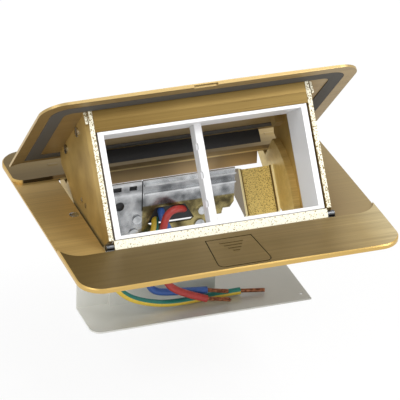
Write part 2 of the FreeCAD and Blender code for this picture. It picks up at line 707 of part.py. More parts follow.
save("tray_bracket", tray_bracket())
save("bracket_screws", Part.Compound(
    [rod(SCREW_R, V(-CHEEK_OUT, y, BRACKET_SCREW_Z), V(-CHEEK_IN + 1.0, y, BRACKET_SCREW_Z)).fuse(
        rod(SCREW_HEAD_R, V(-CHEEK_IN + 1.0, y, BRACKET_SCREW_Z),
            V(-CHEEK_IN + 2.0, y, BRACKET_SCREW_Z)))
     for y in BRACKET_SCREW_Y]))

TRAY_FRONT = -14.0
TRAY_HALF = 53.4
TRAY_WALL_Y = BRACKET_Y[1]
TRAY_WALL_TOP = -14.8
PANEL_X = (-37.3, 13.1)      # middle of the wall, set forward
PANEL_SET = 3.0


def cable_tray():
    """Bent sheet: a floor with a wall at its back that stands on the left and in the middle."""
    z0, z1 = TRAY_TOP - SHEET, TRAY_TOP
    floor = rounded_slab(-TRAY_HALF, TRAY_HALF, TRAY_FRONT, TRAY_WALL_Y + SHEET, z0, z1, 5.0,
                         lambda middle: middle.y < 0 and middle.x < 0)
    floor = floor.fuse(box(PANEL_X[1], TRAY_HALF, 0, 26.0, z0, z1))
    floor = floor.cut(Part.makeCylinder(0.9, 3, V(50.4, -8.6, z0 - 1)))
    left = box(-TRAY_HALF, PANEL_X[0], TRAY_WALL_Y, TRAY_WALL_Y + SHEET, z0, TRAY_WALL_TOP)
    front_y = TRAY_WALL_Y - PANEL_SET
    middle = box(PANEL_X[0], PANEL_X[1], front_y, front_y + SHEET, z0, TRAY_WALL_TOP - 7.0)
    joggle = box(PANEL_X[0] - SHEET, PANEL_X[0], front_y, TRAY_WALL_Y + SHEET, z0, TRAY_WALL_TOP - 7.0)
    upper = box(PANEL_X[0] - SHEET, PANEL_X[1], TRAY_WALL_Y, TRAY_WALL_Y + SHEET,
                TRAY_WALL_TOP - 7.8, TRAY_WALL_TOP)
    shelf = box(PANEL_X[0] - SHEET, PANEL_X[1], front_y, TRAY_WALL_Y + SHEET,
                TRAY_WALL_TOP - 7.8, TRAY_WALL_TOP - 7.0)
    far = box(PANEL_X[1] - SHEET, PANEL_X[1], front_y, TRAY_WALL_Y + SHEET, z0, TRAY_WALL_TOP - 7.0)
    tray = floor.fuse([left, middle, joggle, upper, shelf, far])
    ears = [box(x - 3.0, x + 3.0, TRAY_WALL_Y, TRAY_WALL_Y + SHEET, TRAY_WALL_TOP - 1, -14.0)
            for x in TRAY_RIVET_X]
    tray = tray.fuse(ears)
    # the wall's left end stays below the foot of the hinge arm
    tray = tray.cut(box(-TRAY_HALF - 1, -46.9, TRAY_WALL_Y - 1, TRAY_WALL_Y + 2, -21.6, -10))
    for x in TRAY_RIVET_X:
        tray = tray.cut(rod(RIVET_R, V(x, TRAY_WALL_Y - 1, -17.0), V(x, TRAY_WALL_Y + 2, -17.0)))
    return tray.removeSplitter()


save("cable_tray", cable_tray())
save("tray_rivets", Part.Compound(
    [rod(RIVET_R, V(x, BRACKET_Y[0], -17.0), V(x, TRAY_WALL_Y + SHEET, -17.0)).fuse(
        rod(RIVET_R + 0.9, V(x, BRACKET_Y[0] - 0.7, -17.0), V(x, BRACKET_Y[0], -17.0)))
     for x in TRAY_RIVET_X]))

CLAMP_Y = (BRACKET_Y[1], 17.5)


def cable_clamp():
    """Moulded block that grips the conductors behind the cable hole, with a card to its left."""
    block = box(-28.2, 8.7, CLAMP_Y[0], CLAMP_Y[1], -13.6, -4.4)
    card = box(-40.0, -20.0, CLAMP_Y[0], CLAMP_Y[0] + 1.1, -9.0, 8.4)
    block = block.fuse(card)
    for x in CLAMP_SCREW_X:
        block = block.cut(rod(1.2, V(x, CLAMP_Y[0] - 1, -10.0), V(x, CLAMP_Y[1] + 1, -10.0)))
    return block


save("clamp_screws", Part.Compound(
    [rod(1.2, V(x, BRACKET_Y[0], -10.0), V(x, CLAMP_Y[1], -10.0)).fuse(
        rod(2.1, V(x, BRACKET_Y[0] - 0.9, -10.0), V(x, BRACKET_Y[0], -10.0)))
     for x in CLAMP_SCREW_X]))

# ---------------------------------------------------------------- conductors
RED_ROUTE = [(0.5, 13.5, -11.5), (-6.7, 5.6, -5.6), (-12.7, 2.5, -5.4), (-15.5, 0.8, -11.1),
             (-16.5, -0.6, -23.0), (-15.7, -2.6, -35.0), (-13.4, -4.4, -40.6), (-6.0, -5.8, -44.8),
             (4.1, -7.0, -48.4)]
BLUE_ROUTE = [(-12.6, 13.5, -7.4), (-14.6, 6.2, -8.2), (-12.9, 4.9, -12.4), (-10.1, 4.4, -18.4),
              (-11.4, 4.2, -27.0), (-17.4, 3.4, -34.8), (-22.0, 1.4, -40.2), (-19.4, -0.6, -44.6),
              (-8.0, -1.6, -45.6), (5.5, -3.2, -46.2)]
EARTH_ROUTE = [(-15.5, 13.5, -11.5), (-17.0, 6.0, -13.0), (-19.5, 4.5, -18.5), (-26.0, 3.2, -22.5),
               (-33.5, 2.2, -26.5), (-38.8, 0.2, -32.5), (-38.6, -1.6, -38.0), (-33.5, -3.2, -43.0),
               (-26.6, -4.3, -46.2), (-15.6, -4.2, -49.4), (-3.3, -2.6, -50.7), (9.1, -1.0, -50.9),
               (22.6, -1.4, -50.6)]
CORE_REACH = {"red": V(17.9, -7.6, -51.0), "blue": V(17.6, -4.4, -48.4), "earth": V(36.8, -3.4, -51.4)}


def rounded_path(route):
    """Straight runs joined by tangent arcs, each as large as its two runs allow."""
    points = [V(*p) for p in route]
    edges, radii = [], []
    here = points[0]
    for before, corner, after in zip(points, points[1:], points[2:]):
        to_back, to_front = before.sub(corner), after.sub(corner)
        shorter = min(to_back.Length, to_front.Length)
        to_back.normalize()
        to_front.normalize()
        turn = math.pi - to_back.getAngle(to_front)
        radius = 0.45 * shorter / math.tan(turn / 2)
        setback = 0.45 * shorter
        start, end = corner + to_back * setback, corner + to_front * setback
        inward = (to_back + to_front).normalize()
        centre = corner + inward * (radius / math.cos(turn / 2))
        middle = centre - inward * radius
        edges.append(Part.LineSegment(here, start).toShape())
        edges.append(Part.Arc(start, middle, end).toShape())
        radii.append(radius)
        here = end
    edges.append(Part.LineSegment(here, points[-1]).toShape())
    return Part.Wire(edges), radii


def tube(route, radius):
    """A conductor along a rounded path, with eight flats to keep its mesh light."""
    path, radii = rounded_path(route)
    first = V(*route[1]).sub(V(*route[0]))
    side = first.cross(Z_AXIS).normalize()
    over = first.cross(side).normalize()
    corners = []
    for step in range(8):
        angle = math.pi / 4 * step
        corners.append(V(*route[0]) + side * (radius * math.cos(angle)) + over * (radius * math.sin(angle)))
    section = Part.makePolygon(corners + corners[:1])
    shape = path.makePipeShell([section], True, False)
    expected = 2 * math.sqrt(2) * radius ** 2 * path.Length
    print("  tube length %.1f volume ratio %.3f radii %s" % (
        path.Length, shape.Volume / expected, [round(r, 1) for r in radii]))
    return shape


ROUTES = (("red", RED_ROUTE), ("blue", BLUE_ROUTE), ("earth", EARTH_ROUTE))
clamp = cable_clamp()
for colour, route in ROUTES:
    clamp = clamp.cut(rod(WIRE_R, V(*route[0]), V(*route[1])))
    save("wire_" + colour, tube(route, WIRE_R))
    save("core_" + colour, rod(CORE_R, V(*route[-1]), CORE_REACH[colour]))
save("cable_clamp", clamp)

for node, (count, volume, facets) in sorted(written.items()):
    print("%-18s solids %d  volume %9.1f  facets %d" % (node, count, volume, facets))
print(len(written), "nodes", sum(f for _, _, f in written.values()), "facets")
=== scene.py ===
# %% [markdown]
# # A pop-up floor box in brass
# The box sits flush in a floor. A press on the button lets two springs swing the lid up, and the
# carriage under it brings a frame for socket modules into reach. This lesson dresses the finished
# model: it gives every piece its surface, and makes by hand what a solid model can't hold well,
# such as flexible conductors and stranded copper. All lengths are metres unless a name ends in mm.

# %% Load the model that everything is fitted to
import math
import random

import bpy
from mathutils import Matrix, Vector


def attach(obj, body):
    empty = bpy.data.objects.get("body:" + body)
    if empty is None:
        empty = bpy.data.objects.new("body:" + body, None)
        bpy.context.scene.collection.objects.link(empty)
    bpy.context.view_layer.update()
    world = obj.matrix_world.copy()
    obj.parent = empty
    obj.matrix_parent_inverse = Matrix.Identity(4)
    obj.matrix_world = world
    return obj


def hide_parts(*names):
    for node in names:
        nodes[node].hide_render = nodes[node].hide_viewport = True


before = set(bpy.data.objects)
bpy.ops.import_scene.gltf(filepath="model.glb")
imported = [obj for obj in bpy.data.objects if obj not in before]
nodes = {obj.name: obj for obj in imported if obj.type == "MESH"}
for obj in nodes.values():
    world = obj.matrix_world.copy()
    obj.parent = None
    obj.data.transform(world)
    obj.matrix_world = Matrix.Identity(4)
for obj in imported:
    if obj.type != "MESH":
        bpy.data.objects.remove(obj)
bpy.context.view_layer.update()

MM = 0.001

# %% [markdown]
# ## Where the viewer stands
# A long lens far away keeps parallel edges nearly parallel, as in a catalogue picture. The camera is
# built from two angles and a small roll, because those say what the viewer sees: the box from its
# left front corner, thirty degrees above the floor.

# %% Camera
VIEW_AZIMUTH = math.radians(-21.29)
VIEW_ELEVATION = math.radians(29.23)
VIEW_ROLL = math.radians(2.205)
VIEW_DISTANCE = 1.3448
LENS_MM = 265.63
AIM = Vector((4.11, 6.44, -3.68)) * MM

back = Vector((math.sin(VIEW_AZIMUTH) * math.cos(VIEW_ELEVATION),
               -math.cos(VIEW_AZIMUTH) * math.cos(VIEW_ELEVATION),
               math.sin(VIEW_ELEVATION)))
level = Vector((0, 0, 1)).cross(back).normalized()
upward = back.cross(level)
turned_level = level * math.cos(VIEW_ROLL) + upward * math.sin(VIEW_ROLL)
turned_up = upward * math.cos(VIEW_ROLL) - level * math.sin(VIEW_ROLL)

lens = bpy.data.cameras.new("viewer")
lens.lens = LENS_MM
lens.sensor_width = 36.0
lens.clip_start = 0.05
lens.clip_end = 20.0
viewer = bpy.data.objects.new("viewer", lens)
bpy.context.collection.objects.link(viewer)
turn = Matrix((turned_level, turned_up, back)).transposed().to_4x4()
viewer.matrix_world = Matrix.Translation(AIM + back * VIEW_DISTANCE) @ turn
bpy.context.scene.camera = viewer
print("camera at", [round(v, 3) for v in viewer.matrix_world.translation])

# %% [markdown]
# ## Helpers for materials
# A material here is a Principled shader with a few nodes in front of it. Each node could be made and
# linked by hand, but that takes four lines a node and hides what the finish is about. So one small
# class makes the material and joins nodes, and takes colours as the six digits that drawing
# programs show.

# %% A material and its nodes
def linear(hex_colour):
    """An sRGB colour such as "86703f" as the linear numbers that a shader works in."""
    parts = [int(hex_colour[i:i + 2], 16) / 255 for i in (0, 2, 4)]
    return tuple(c / 12.92 if c <= 0.04045 else ((c + 0.055) / 1.055) ** 2.4 for c in parts) + (1.0,)


class Shade:
    """A new material with short ways to add and join nodes."""

    def __init__(self, name, **sockets):
        self.material = bpy.data.materials.new(name)
        self.material.use_nodes = True
        self.tree = self.material.node_tree
        self.surface = self.tree.nodes["Principled BSDF"]
        self.place = self.tree.nodes.new("ShaderNodeTexCoord")
        for socket, value in sockets.items():
            self.surface.inputs[socket.replace("_", " ")].default_value = value

    def add(self, kind, **settings):
        node = self.tree.nodes.new("ShaderNode" + kind)
        for name, value in settings.items():
            setattr(node, name, value)
        return node

    def join(self, source, target):
        self.tree.links.new(source, target)

    def feed(self, value, socket):
        """Gives a socket its value: another node's output, a written colour, or plain numbers."""
        if hasattr(value, "is_output"):
            self.join(value, socket)
        else:
            socket.default_value = linear(value) if isinstance(value, str) else value

    def ramp(self, value, stops, interpolation="LINEAR"):
        """Turns a number into a colour: stops are (position, written colour)."""
        ramp = self.add("ValToRGB")
        band = ramp.color_ramp
        band.interpolation = interpolation
        while len(band.elements) < len(stops):
            band.elements.new(0.5)
        for element, (position, colour) in zip(band.elements, stops):
            element.position = position
            element.color = linear(colour)
        self.join(value, ramp.inputs["Fac"])
        return ramp.outputs["Color"]

    def mixed(self, amount, first, second):
        """Two colours mixed: amount 0 gives the first, 1 the second."""
        mix = self.add("Mix", data_type="RGBA")
        for value, index in ((amount, 0), (first, 6), (second, 7)):
            self.feed(value, mix.inputs[index])
        return mix.outputs[2]


print("the brass colour 86703f is", [round(part, 3) for part in linear("86703f")], "to a shader")

# %% [markdown]
# ## Helpers for patterns
# Wear, grain and pits follow the metal. Noise gives their irregular shapes, and the piece's own
# coordinates and normals tell where a point lies and which way it looks. Object coordinates are used
# throughout: they are in metres and move with the piece, so grain keeps its real size and stays on
# the metal when the lid swings.

# %% Patterns, places and directions
class Finish(Shade):
    """A material whose nodes can ask for noise, for a point's place and for its direction."""

    def stretched(self, scale):
        """Object coordinates scaled unevenly, which draws any texture out into streaks."""
        mapping = self.add("Mapping")
        mapping.inputs["Scale"].default_value = scale
        self.join(self.place.outputs["Object"], mapping.inputs["Vector"])
        return mapping.outputs["Vector"]

    def noise(self, scale, detail=3.0, roughness=0.5, where=None):
        """Noise between 0 and 1. A scale of 100 has features of about a hundredth of a metre."""
        texture = self.add("TexNoise")
        for name, number in (("Scale", scale), ("Detail", detail), ("Roughness", roughness)):
            texture.inputs[name].default_value = number
        self.join(where or self.place.outputs["Object"], texture.inputs["Vector"])
        return texture.outputs["Fac"]

    def spread(self, value, low, high, from_low=0.3, from_high=0.7):
        """A value mapped from one range to another, without going past its ends."""
        change = self.add("MapRange")
        for name, number in (("From Min", from_low), ("From Max", from_high),
                             ("To Min", low), ("To Max", high)):
            change.inputs[name].default_value = number
        self.join(value, change.inputs["Value"])
        return change.outputs["Result"]

    def along(self, axis, source="Object"):
        """One coordinate of a vector: "X", "Y" or "Z"."""
        split = self.add("SeparateXYZ")
        self.join(self.place.outputs[source], split.inputs["Vector"])
        return split.outputs[axis]

    def facing(self, direction):
        """How squarely the surface faces a direction: 1 towards it, -1 away from it."""
        dot = self.add("VectorMath", operation="DOT_PRODUCT")
        dot.inputs[1].default_value = direction
        self.join(self.place.outputs["Normal"], dot.inputs[0])
        return dot.outputs["Value"]

    def worked(self, operation, first, second=None, clamped=False):
        """One or two numbers through an operation such as MULTIPLY."""
        change = self.add("Math", operation=operation, use_clamp=clamped)
        self.feed(first, change.inputs[0])
        if second is not None:
            self.feed(second, change.inputs[1])
        return change.outputs["Value"]

    def size_of(self, value):
        """A number without its sign."""
        return self.worked("ABSOLUTE", value)

    def bump(self, height, strength, distance):
        bump = self.add("Bump")
        bump.inputs["Strength"].default_value = strength
        bump.inputs["Distance"].default_value = distance
        self.join(height, bump.inputs["Height"])
        self.join(bump.outputs["Normal"], self.surface.inputs["Normal"])

    def colour(self, source):
        self.join(source, self.surface.inputs["Base Color"])

    def rough(self, source):
        self.join(source, self.surface.inputs["Roughness"])


def dress(material, *names):
    """Puts one material on model nodes, in every slot they have."""
    for name in names:
        mesh = nodes[name].data
        mesh.materials.clear()
        mesh.materials.append(material)
    print(material.name, "on", ", ".join(names))


print("a finish can use:", [name for name in vars(Finish) if not name.startswith("_")])

# %% [markdown]
# ## The conductors
# Three insulated conductors leave the clamp behind the carriage, loop down in front of the tray's
# wall and end bare, the way an installer finds them. Each is one smooth curve. The route's points
# are few and given one by one, and a NURBS spline draws the wire through their pull.

# %% Routes of the conductors
RED_ROUTE_MM = [(0.5, 13.5, -11.5), (-6.7, 5.6, -5.6), (-12.7, 2.5, -5.4), (-15.5, 0.8, -11.1),
                (-16.5, -0.6, -23.0), (-15.7, -2.6, -35.0), (-13.4, -4.4, -40.6), (-6.0, -5.8, -44.8),
                (4.1, -7.0, -48.4)]
BLUE_ROUTE_MM = [(-12.6, 13.5, -7.4), (-14.6, 6.2, -8.2), (-12.9, 4.9, -12.4), (-10.1, 4.4, -18.4),
                 (-11.4, 4.2, -27.0), (-17.4, 3.4, -34.8), (-22.0, 1.4, -40.2), (-19.4, -0.6, -44.6),
                 (-8.0, -1.6, -45.6), (5.5, -3.2, -46.2)]
EARTH_ROUTE_MM = [(-15.5, 13.5, -11.5), (-17.0, 6.0, -13.0), (-19.5, 4.5, -18.5), (-26.0, 3.2, -22.5),
                  (-33.5, 2.2, -26.5), (-38.8, 0.2, -32.5), (-38.6, -1.6, -38.0), (-33.5, -3.2, -43.0),
                  (-26.6, -4.3, -46.2), (-15.6, -4.2, -49.4), (-3.3, -2.6, -50.7), (9.1, -1.0, -50.9),
                  (22.6, -1.4, -50.6)]
CORE_TIPS_MM = {"red": (17.9, -7.6, -51.0), "blue": (17.6, -4.4, -48.4), "earth": (36.8, -3.4, -51.4)}
for route_name, route in (("red", RED_ROUTE_MM), ("blue", BLUE_ROUTE_MM), ("earth", EARTH_ROUTE_MM)):
    runs = sum((Vector(after) - Vector(before)).length for before, after in zip(route, route[1:]))
    print(route_name, "route has", len(route), "points and", round(runs), "mm of straight runs")

# %% [markdown]
# The insulated part is a curve with a round section. The bared end could be one copper rod, but a
# flexible conductor has many thin strands, which lie twisted and splay a little where they were
# cut. The earth conductor has a single solid core.

# %% Insulated conductors and their copper
WIRE_RADIUS = 1.7 * MM
CORE_RADIUS = 0.95 * MM
STRAND_STEPS = 14
TUCKED_IN = 2 * MM           # how far the copper reaches back into the insulation


def conductor(name, route_mm):
    """One insulated conductor as a NURBS curve with a round section."""
    curve = bpy.data.curves.new(name, "CURVE")
    curve.dimensions = "3D"
    curve.resolution_u = 12
    curve.bevel_depth = WIRE_RADIUS
    curve.bevel_resolution = 6
    curve.use_fill_caps = True
    spline = curve.splines.new("NURBS")
    spline.points.add(len(route_mm) - 1)
    for point, place in zip(spline.points, route_mm):
        point.co = (*(Vector(place) * MM), 1.0)
    spline.order_u = 3
    spline.use_endpoint_u = True
    piece = bpy.data.objects.new(name, curve)
    bpy.context.collection.objects.link(piece)
    return piece


def strands(name, start_mm, tip_mm, count, radius, twist):
    """Bare copper: thin strands laid round each other from the insulation's end to a frayed tip."""
    start, tip = Vector(start_mm) * MM, Vector(tip_mm) * MM
    along = (tip - start).normalized()
    side = along.cross(Vector((0, 0, 1))).normalized()
    over = side.cross(along)
    curve = bpy.data.curves.new(name, "CURVE")
    curve.dimensions = "3D"
    curve.bevel_depth = radius
    curve.bevel_resolution = 3
    curve.use_fill_caps = True
    draw = random.Random(name)
    for index in range(count):
        ring = 0.0 if index == 0 else CORE_RADIUS - radius
        reach = (tip - start).length * draw.uniform(0.9, 1.0)
        spline = curve.splines.new("POLY")
        spline.points.add(STRAND_STEPS)
        for step, point in enumerate(spline.points):
            t = step / STRAND_STEPS
            angle = 2 * math.pi * index / max(count - 1, 1) + twist * t
            splay = ring * (1 + 0.25 * t * t * draw.uniform(0.2, 1.0))
            place = start + along * (reach * t - TUCKED_IN) + side * (splay * math.cos(angle))
            place += over * (splay * math.sin(angle))
            point.co = (*place, 1.0)
    piece = bpy.data.objects.new(name, curve)
    bpy.context.collection.objects.link(piece)
    return piece


thick, core = 2 * WIRE_RADIUS / MM, 2 * CORE_RADIUS / MM
print("conductor", round(thick, 1), "mm thick, copper", round(core, 1), "mm")

# %% [markdown]
# Insulation is soft plastic: saturated colour, a broad highlight, and faint scuffs. The protective
# conductor is green with a yellow stripe, which the curve's own coordinates carry along its length.

# %% Conductor materials
STRIPE_TURN = 0.88           # how far the yellow stripe is turned round the conductor
STRIPE_SHARE = 0.34          # how much of the way round it takes


def insulation(name, colour, stripe=None):
    """Soft plastic with scuffs. A stripe takes the first part of the way round the conductor."""
    shade = Finish(name, Roughness=0.38, IOR=1.5)
    scuffs = shade.noise(900.0)
    body = colour
    if stripe:
        turned = shade.worked("ADD", shade.along("Y", "UV"), STRIPE_TURN)
        way_round = shade.worked("FRACT", turned)
        body = shade.ramp(way_round, [(0.0, stripe), (STRIPE_SHARE, colour)], "CONSTANT")
    shade.colour(shade.mixed(shade.spread(scuffs, 0.0, 0.16), body, (0.02, 0.02, 0.02, 1.0)))
    shade.rough(shade.spread(scuffs, 0.32, 0.5))
    shade.bump(scuffs, 0.15, 0.0002)
    return shade.material


def bare_copper():
    shade = Finish("bare_copper", Metallic=1.0, Roughness=0.34)
    shade.colour(shade.ramp(shade.noise(700.0), [(0.3, "5a3226"), (0.7, "b87a58")]))
    return shade.material


copper = bare_copper()
WIRES = (("red", RED_ROUTE_MM, insulation("red_insulation", "a8322c"), 7),
         ("blue", BLUE_ROUTE_MM, insulation("blue_insulation", "34589c"), 7),
         ("earth", EARTH_ROUTE_MM, insulation("earth_insulation", "1f7a6c", "d8b83c"), 1))

for colour, route, plastic, strand_count in WIRES:
    wire = conductor("conductor_" + colour, route)
    wire.data.materials.append(plastic)
    thin = CORE_RADIUS if strand_count == 1 else CORE_RADIUS * 0.36
    core = strands("copper_" + colour, route[-1], CORE_TIPS_MM[colour], strand_count, thin, 3.5)
    core.data.materials.append(copper)
    for piece, kind, finish in ((wire, "wire_", colour + "_insulation"), (core, "core_", "bare_copper")):
        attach(piece, "carriage")
        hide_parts(kind + colour)
    print(wire.name, "follows", len(route), "points and ends in", core.name, "of", strand_count)

# %% [markdown]
# ## Brushed brass
# Brushing scratches the metal in one direction, here from left to right. Long thin noise along X
# gives the streaks: they vary the colour a little, the roughness more, and lift the surface by
# microns. Anisotropy then draws the highlights out across the grain. A sweep of colours from left to
# right paints the plate's highlight towards its right end; the other sweeps grow lighter to the right.

# %% Tones and directions of the brushed parts
OPEN_DEGREES = 47.8          # how far the lid stands open
HALF_WIDTH_MM = 75           # half of the plate's width
LID_UP = Vector((0, math.sin(math.radians(OPEN_DEGREES)), math.cos(math.radians(OPEN_DEGREES))))
PLATE_UP = Vector((0, 0, 1))
INNER_EDGE_SHADE = "33270f"        # edges of openings, darkened as painted shade

# (x in mm, colour); the plate's bright right end is a painted highlight
PLATE_TONE_AND_HIGHLIGHT = [(-75, "7c683e"), (-20, "88744a"), (40, "9c8454"), (60, "cab078"), (75, "f0dcaa")]
# the seats' warmer tone, lighter on the left with a painted reflection
SEAT_TONE_AND_REFLECTION = [(-75, "d6b674"), (-54, "cdae6e"), (54, "9a8258"), (75, "b09a6c")]
LID_SWEEP = [(-75, "a48c5e"), (0, "ae9668"), (75, "b8a070")]
FASCIA_SWEEP = [(-50, "987c40"), (50, "b09456")]
ARM_SWEEP = [(-50, "ccb068"), (50, "e8d08c")]


def swept(shade, sweep):
    """A colour that changes from the plate's left side to its right."""
    across = shade.spread(shade.along("X"), 0.0, 1.0, -HALF_WIDTH_MM * MM, HALF_WIDTH_MM * MM)
    stops = [((x + HALF_WIDTH_MM) / (2 * HALF_WIDTH_MM), colour) for x, colour in sweep]
    return shade.ramp(across, stops)


print("the open lid's top faces", [round(part, 2) for part in LID_UP])

# %% [markdown]
# Some places of the plate have a look of their own. Its outline carries a painted highlight, and the
# edges of its openings a painted shade. The seats beside the opening, which the lid covers, keep a
# warmer tone, the left one lighter with a painted reflection. The opening's back wall is painted dark
# as shade under the lid, with two painted highlights where it steps back. All of these are found by
# place and direction.

# %% Places of the plate with their own tone and painted light
def rim_highlight_and_shade(shade, metal, up, edge):
    """Painted highlight on the edges round a broad face; painted shade on the edges of the plate's
    openings.
    """
    rim = shade.spread(shade.size_of(shade.facing(up)), 1.0, 0.0, 0.72, 0.9)
    if up is not PLATE_UP:
        return shade.mixed(rim, metal, edge)
    side, depth = shade.size_of(shade.along("X")), shade.size_of(shade.along("Y"))
    outer = shade.worked("MAXIMUM", shade.spread(side, 0.0, 1.0, 70.6 * MM, 71.2 * MM),
                         shade.spread(depth, 0.0, 1.0, 63.0 * MM, 63.4 * MM))
    corner = shade.spread(shade.worked("ADD", side, depth), 0.0, 1.0, 128 * MM, 129 * MM)
    outer = shade.worked("MAXIMUM", outer, corner)
    return shade.mixed(rim, metal, shade.mixed(outer, INNER_EDGE_SHADE, edge))


def well_wall(shade):
    """1 on the opening's back wall, which faces the viewer."""
    faces_front = shade.spread(shade.facing((0, -1, 0)), 0.0, 1.0, 0.80, 0.93)
    at_back = shade.spread(shade.along("Y"), 0.0, 1.0, 34.0 * MM, 35.0 * MM)
    inside = shade.spread(shade.size_of(shade.along("X")), 1.0, 0.0, 56.0 * MM, 57.0 * MM)
    return shade.worked("MULTIPLY", shade.worked("MULTIPLY", faces_front, at_back), inside)


def wall_shade_and_highlights(shade):
    """Painted shade in dark brass, with two painted highlight lines where the wall steps back under the
    strip.
    """
    height = shade.spread(shade.along("Z"), 0.0, 1.0, -7 * MM, 3 * MM)
    return shade.ramp(height, [(0.0, "c2a47a"), (0.35, "b0966c"), (0.66, "8e7858"), (0.70, "f4dca0"),
                               (0.73, "806a48"), (0.77, "ecd094"), (0.80, "94805a"), (1.0, "806a48")])


def lid_seats(shade, metal, grain, dark):
    """The warmer, level seats at both sides of the opening, the left one lighter with a painted
    reflection.
    """
    low = shade.spread(shade.along("Z"), 1.0, 0.0, 0.92 * MM, 0.98 * MM)
    seat = shade.mixed(shade.spread(grain, 0.3, 0.0), swept(shade, SEAT_TONE_AND_REFLECTION), dark)
    level = shade.worked("MULTIPLY", low, shade.spread(shade.facing(PLATE_UP), 0.0, 1.0, 0.9, 0.99))
    return shade.mixed(level, metal, seat)


print("places with their own tone: rim, opening's back wall, lid seats")

# %% [markdown]
# One function makes every brushed finish, because the pieces were brushed with the same belt. What
# differs is the sweep of tones, how cloudy and how bare the metal is, and which way its broad faces
# look, which is left out where a piece has no worn rim.

# %% Brushed brass of plate, button, lid and fascia
def brushed_brass(name, dark, sweep, roughness, up=None, cloud=0.2, metallic=0.6, anisotropic=0.5,
                  edge="c8a660"):
    """Brushed metal with tones from sweep; up is the normal of its broad faces, edge the colour of the
    painted highlight on the edges round them.
    """
    shade = Finish(name, Metallic=metallic, Roughness=roughness, Anisotropic=anisotropic)
    tangent = shade.add("Tangent", direction_type="RADIAL", axis="X")
    shade.join(tangent.outputs["Tangent"], shade.surface.inputs["Tangent"])
    grain = shade.noise(1.0, 4.0, 0.6, shade.stretched((14.0, 2600.0, 2600.0)))
    wide = shade.noise(1.0, 2.0, where=shade.stretched((5.0, 420.0, 420.0)))
    patches = shade.noise(28.0, 2.0)
    metal = swept(shade, sweep)
    if up is LID_UP:
        # the open lid's top faces take the plate's sweep, its painted highlight included
        top = shade.spread(shade.facing(up), 0.0, 1.0, 0.4, 0.5)
        metal = shade.mixed(top, metal, swept(shade, PLATE_TONE_AND_HIGHLIGHT))
    metal = shade.mixed(shade.spread(grain, 0.38, 0.0), metal, dark)
    metal = shade.mixed(shade.spread(wide, 0.0, 0.25), metal, dark)
    metal = shade.mixed(shade.spread(patches, 0.0, cloud), metal, dark)
    # painted highlight on the edges round the broad faces, painted shade on the plate's opening edges
    if up is not None:
        metal = rim_highlight_and_shade(shade, metal, up, edge)
    if up is PLATE_UP:
        # the back wall is painted with shade and two highlight lines
        metal = shade.mixed(well_wall(shade), metal, wall_shade_and_highlights(shade))
        metal = lid_seats(shade, metal, grain, dark)
    shade.colour(metal)
    shade.rough(shade.spread(grain, roughness - 0.07, roughness + 0.1))
    shade.bump(grain, 0.2, 0.00006)
    return shade.material


dress(brushed_brass("plate_brass", "50401f", PLATE_TONE_AND_HIGHLIGHT, 0.36, PLATE_UP), "base_frame", "latch_button")
dress(brushed_brass("lid_brass", "624c26", LID_SWEEP, 0.38, LID_UP, cloud=0.12, metallic=0.5,
                    edge="b49a64"), "lid")
dress(brushed_brass("fascia_brass", "6a5022", FASCIA_SWEEP, 0.33), "fascia")
dress(brushed_brass("arm_brass", "96783a", ARM_SWEEP, 0.4, cloud=0.1, metallic=0.7, anisotropic=0.0),
      "hinge_arm_left", "hinge_arm_right", "arm_rivets")

# %% [markdown]
# ## Raw castings
# Cheeks and sill come out of a mould. Their front edges keep the raw skin: pale, with dark specks
# where it is pitted. Two materials a piece would need its faces sorted by hand. The surface's own
# direction tells a front edge from a side as well, so one material serves both.

# %% Cast brass
FACE_LEAN_DEGREES = 12.65    # how far the front face leans back when the lid is shut
FRONT_LEAN = math.radians(FACE_LEAN_DEGREES - OPEN_DEGREES)
FRONT_NORMAL = Vector((0, -math.cos(FRONT_LEAN), -math.sin(FRONT_LEAN)))
SIDE_METALLIC = 0.6


def speckled(shade, ground, speck, size, amount):
    """Pale skin with dark pits of a given size; more of them with a higher amount."""
    pits = shade.noise(1.0 / size, 4.0, 0.65)
    return shade.ramp(pits, [(amount - 0.04, speck), (amount + 0.03, ground)])


def cast_brass(name, pitted):
    """Cast metal with smooth flowing tones on its sides and a pitted skin on its front edges."""
    shade = Finish(name, Roughness=0.45)
    front = shade.spread(shade.facing(FRONT_NORMAL), 0.0, 1.0, 0.85, 0.92)
    side = shade.ramp(shade.noise(60.0, 3.0), [(0.3, "94783e"), (0.7, "c2a460")])
    shade.colour(shade.mixed(front, side, speckled(shade, "f6f1da", "7c662c", 0.7 * MM, pitted)))
    bareness = shade.worked("SUBTRACT", SIDE_METALLIC, front, clamped=True)
    shade.join(bareness, shade.surface.inputs["Metallic"])
    shade.bump(shade.noise(1400.0), 0.2, 0.0002)
    return shade.material


dress(cast_brass("cheek_brass", 0.46), "cheek_left", "cheek_right", "frame_screws")
dress(cast_brass("sill_brass", 0.405), "sill_strip")

# %% [markdown]
# The trough beside the right window is the roughest casting. Its front shows a coarse gold grain
# between two smooth ribs painted bright as a highlight, with a painted shade line inside each rib.
# Its side faces are painted dark as shade. Distance from the trough's middle places them.

# %% The trough
TROUGH_MIDDLE = 38.65 * MM


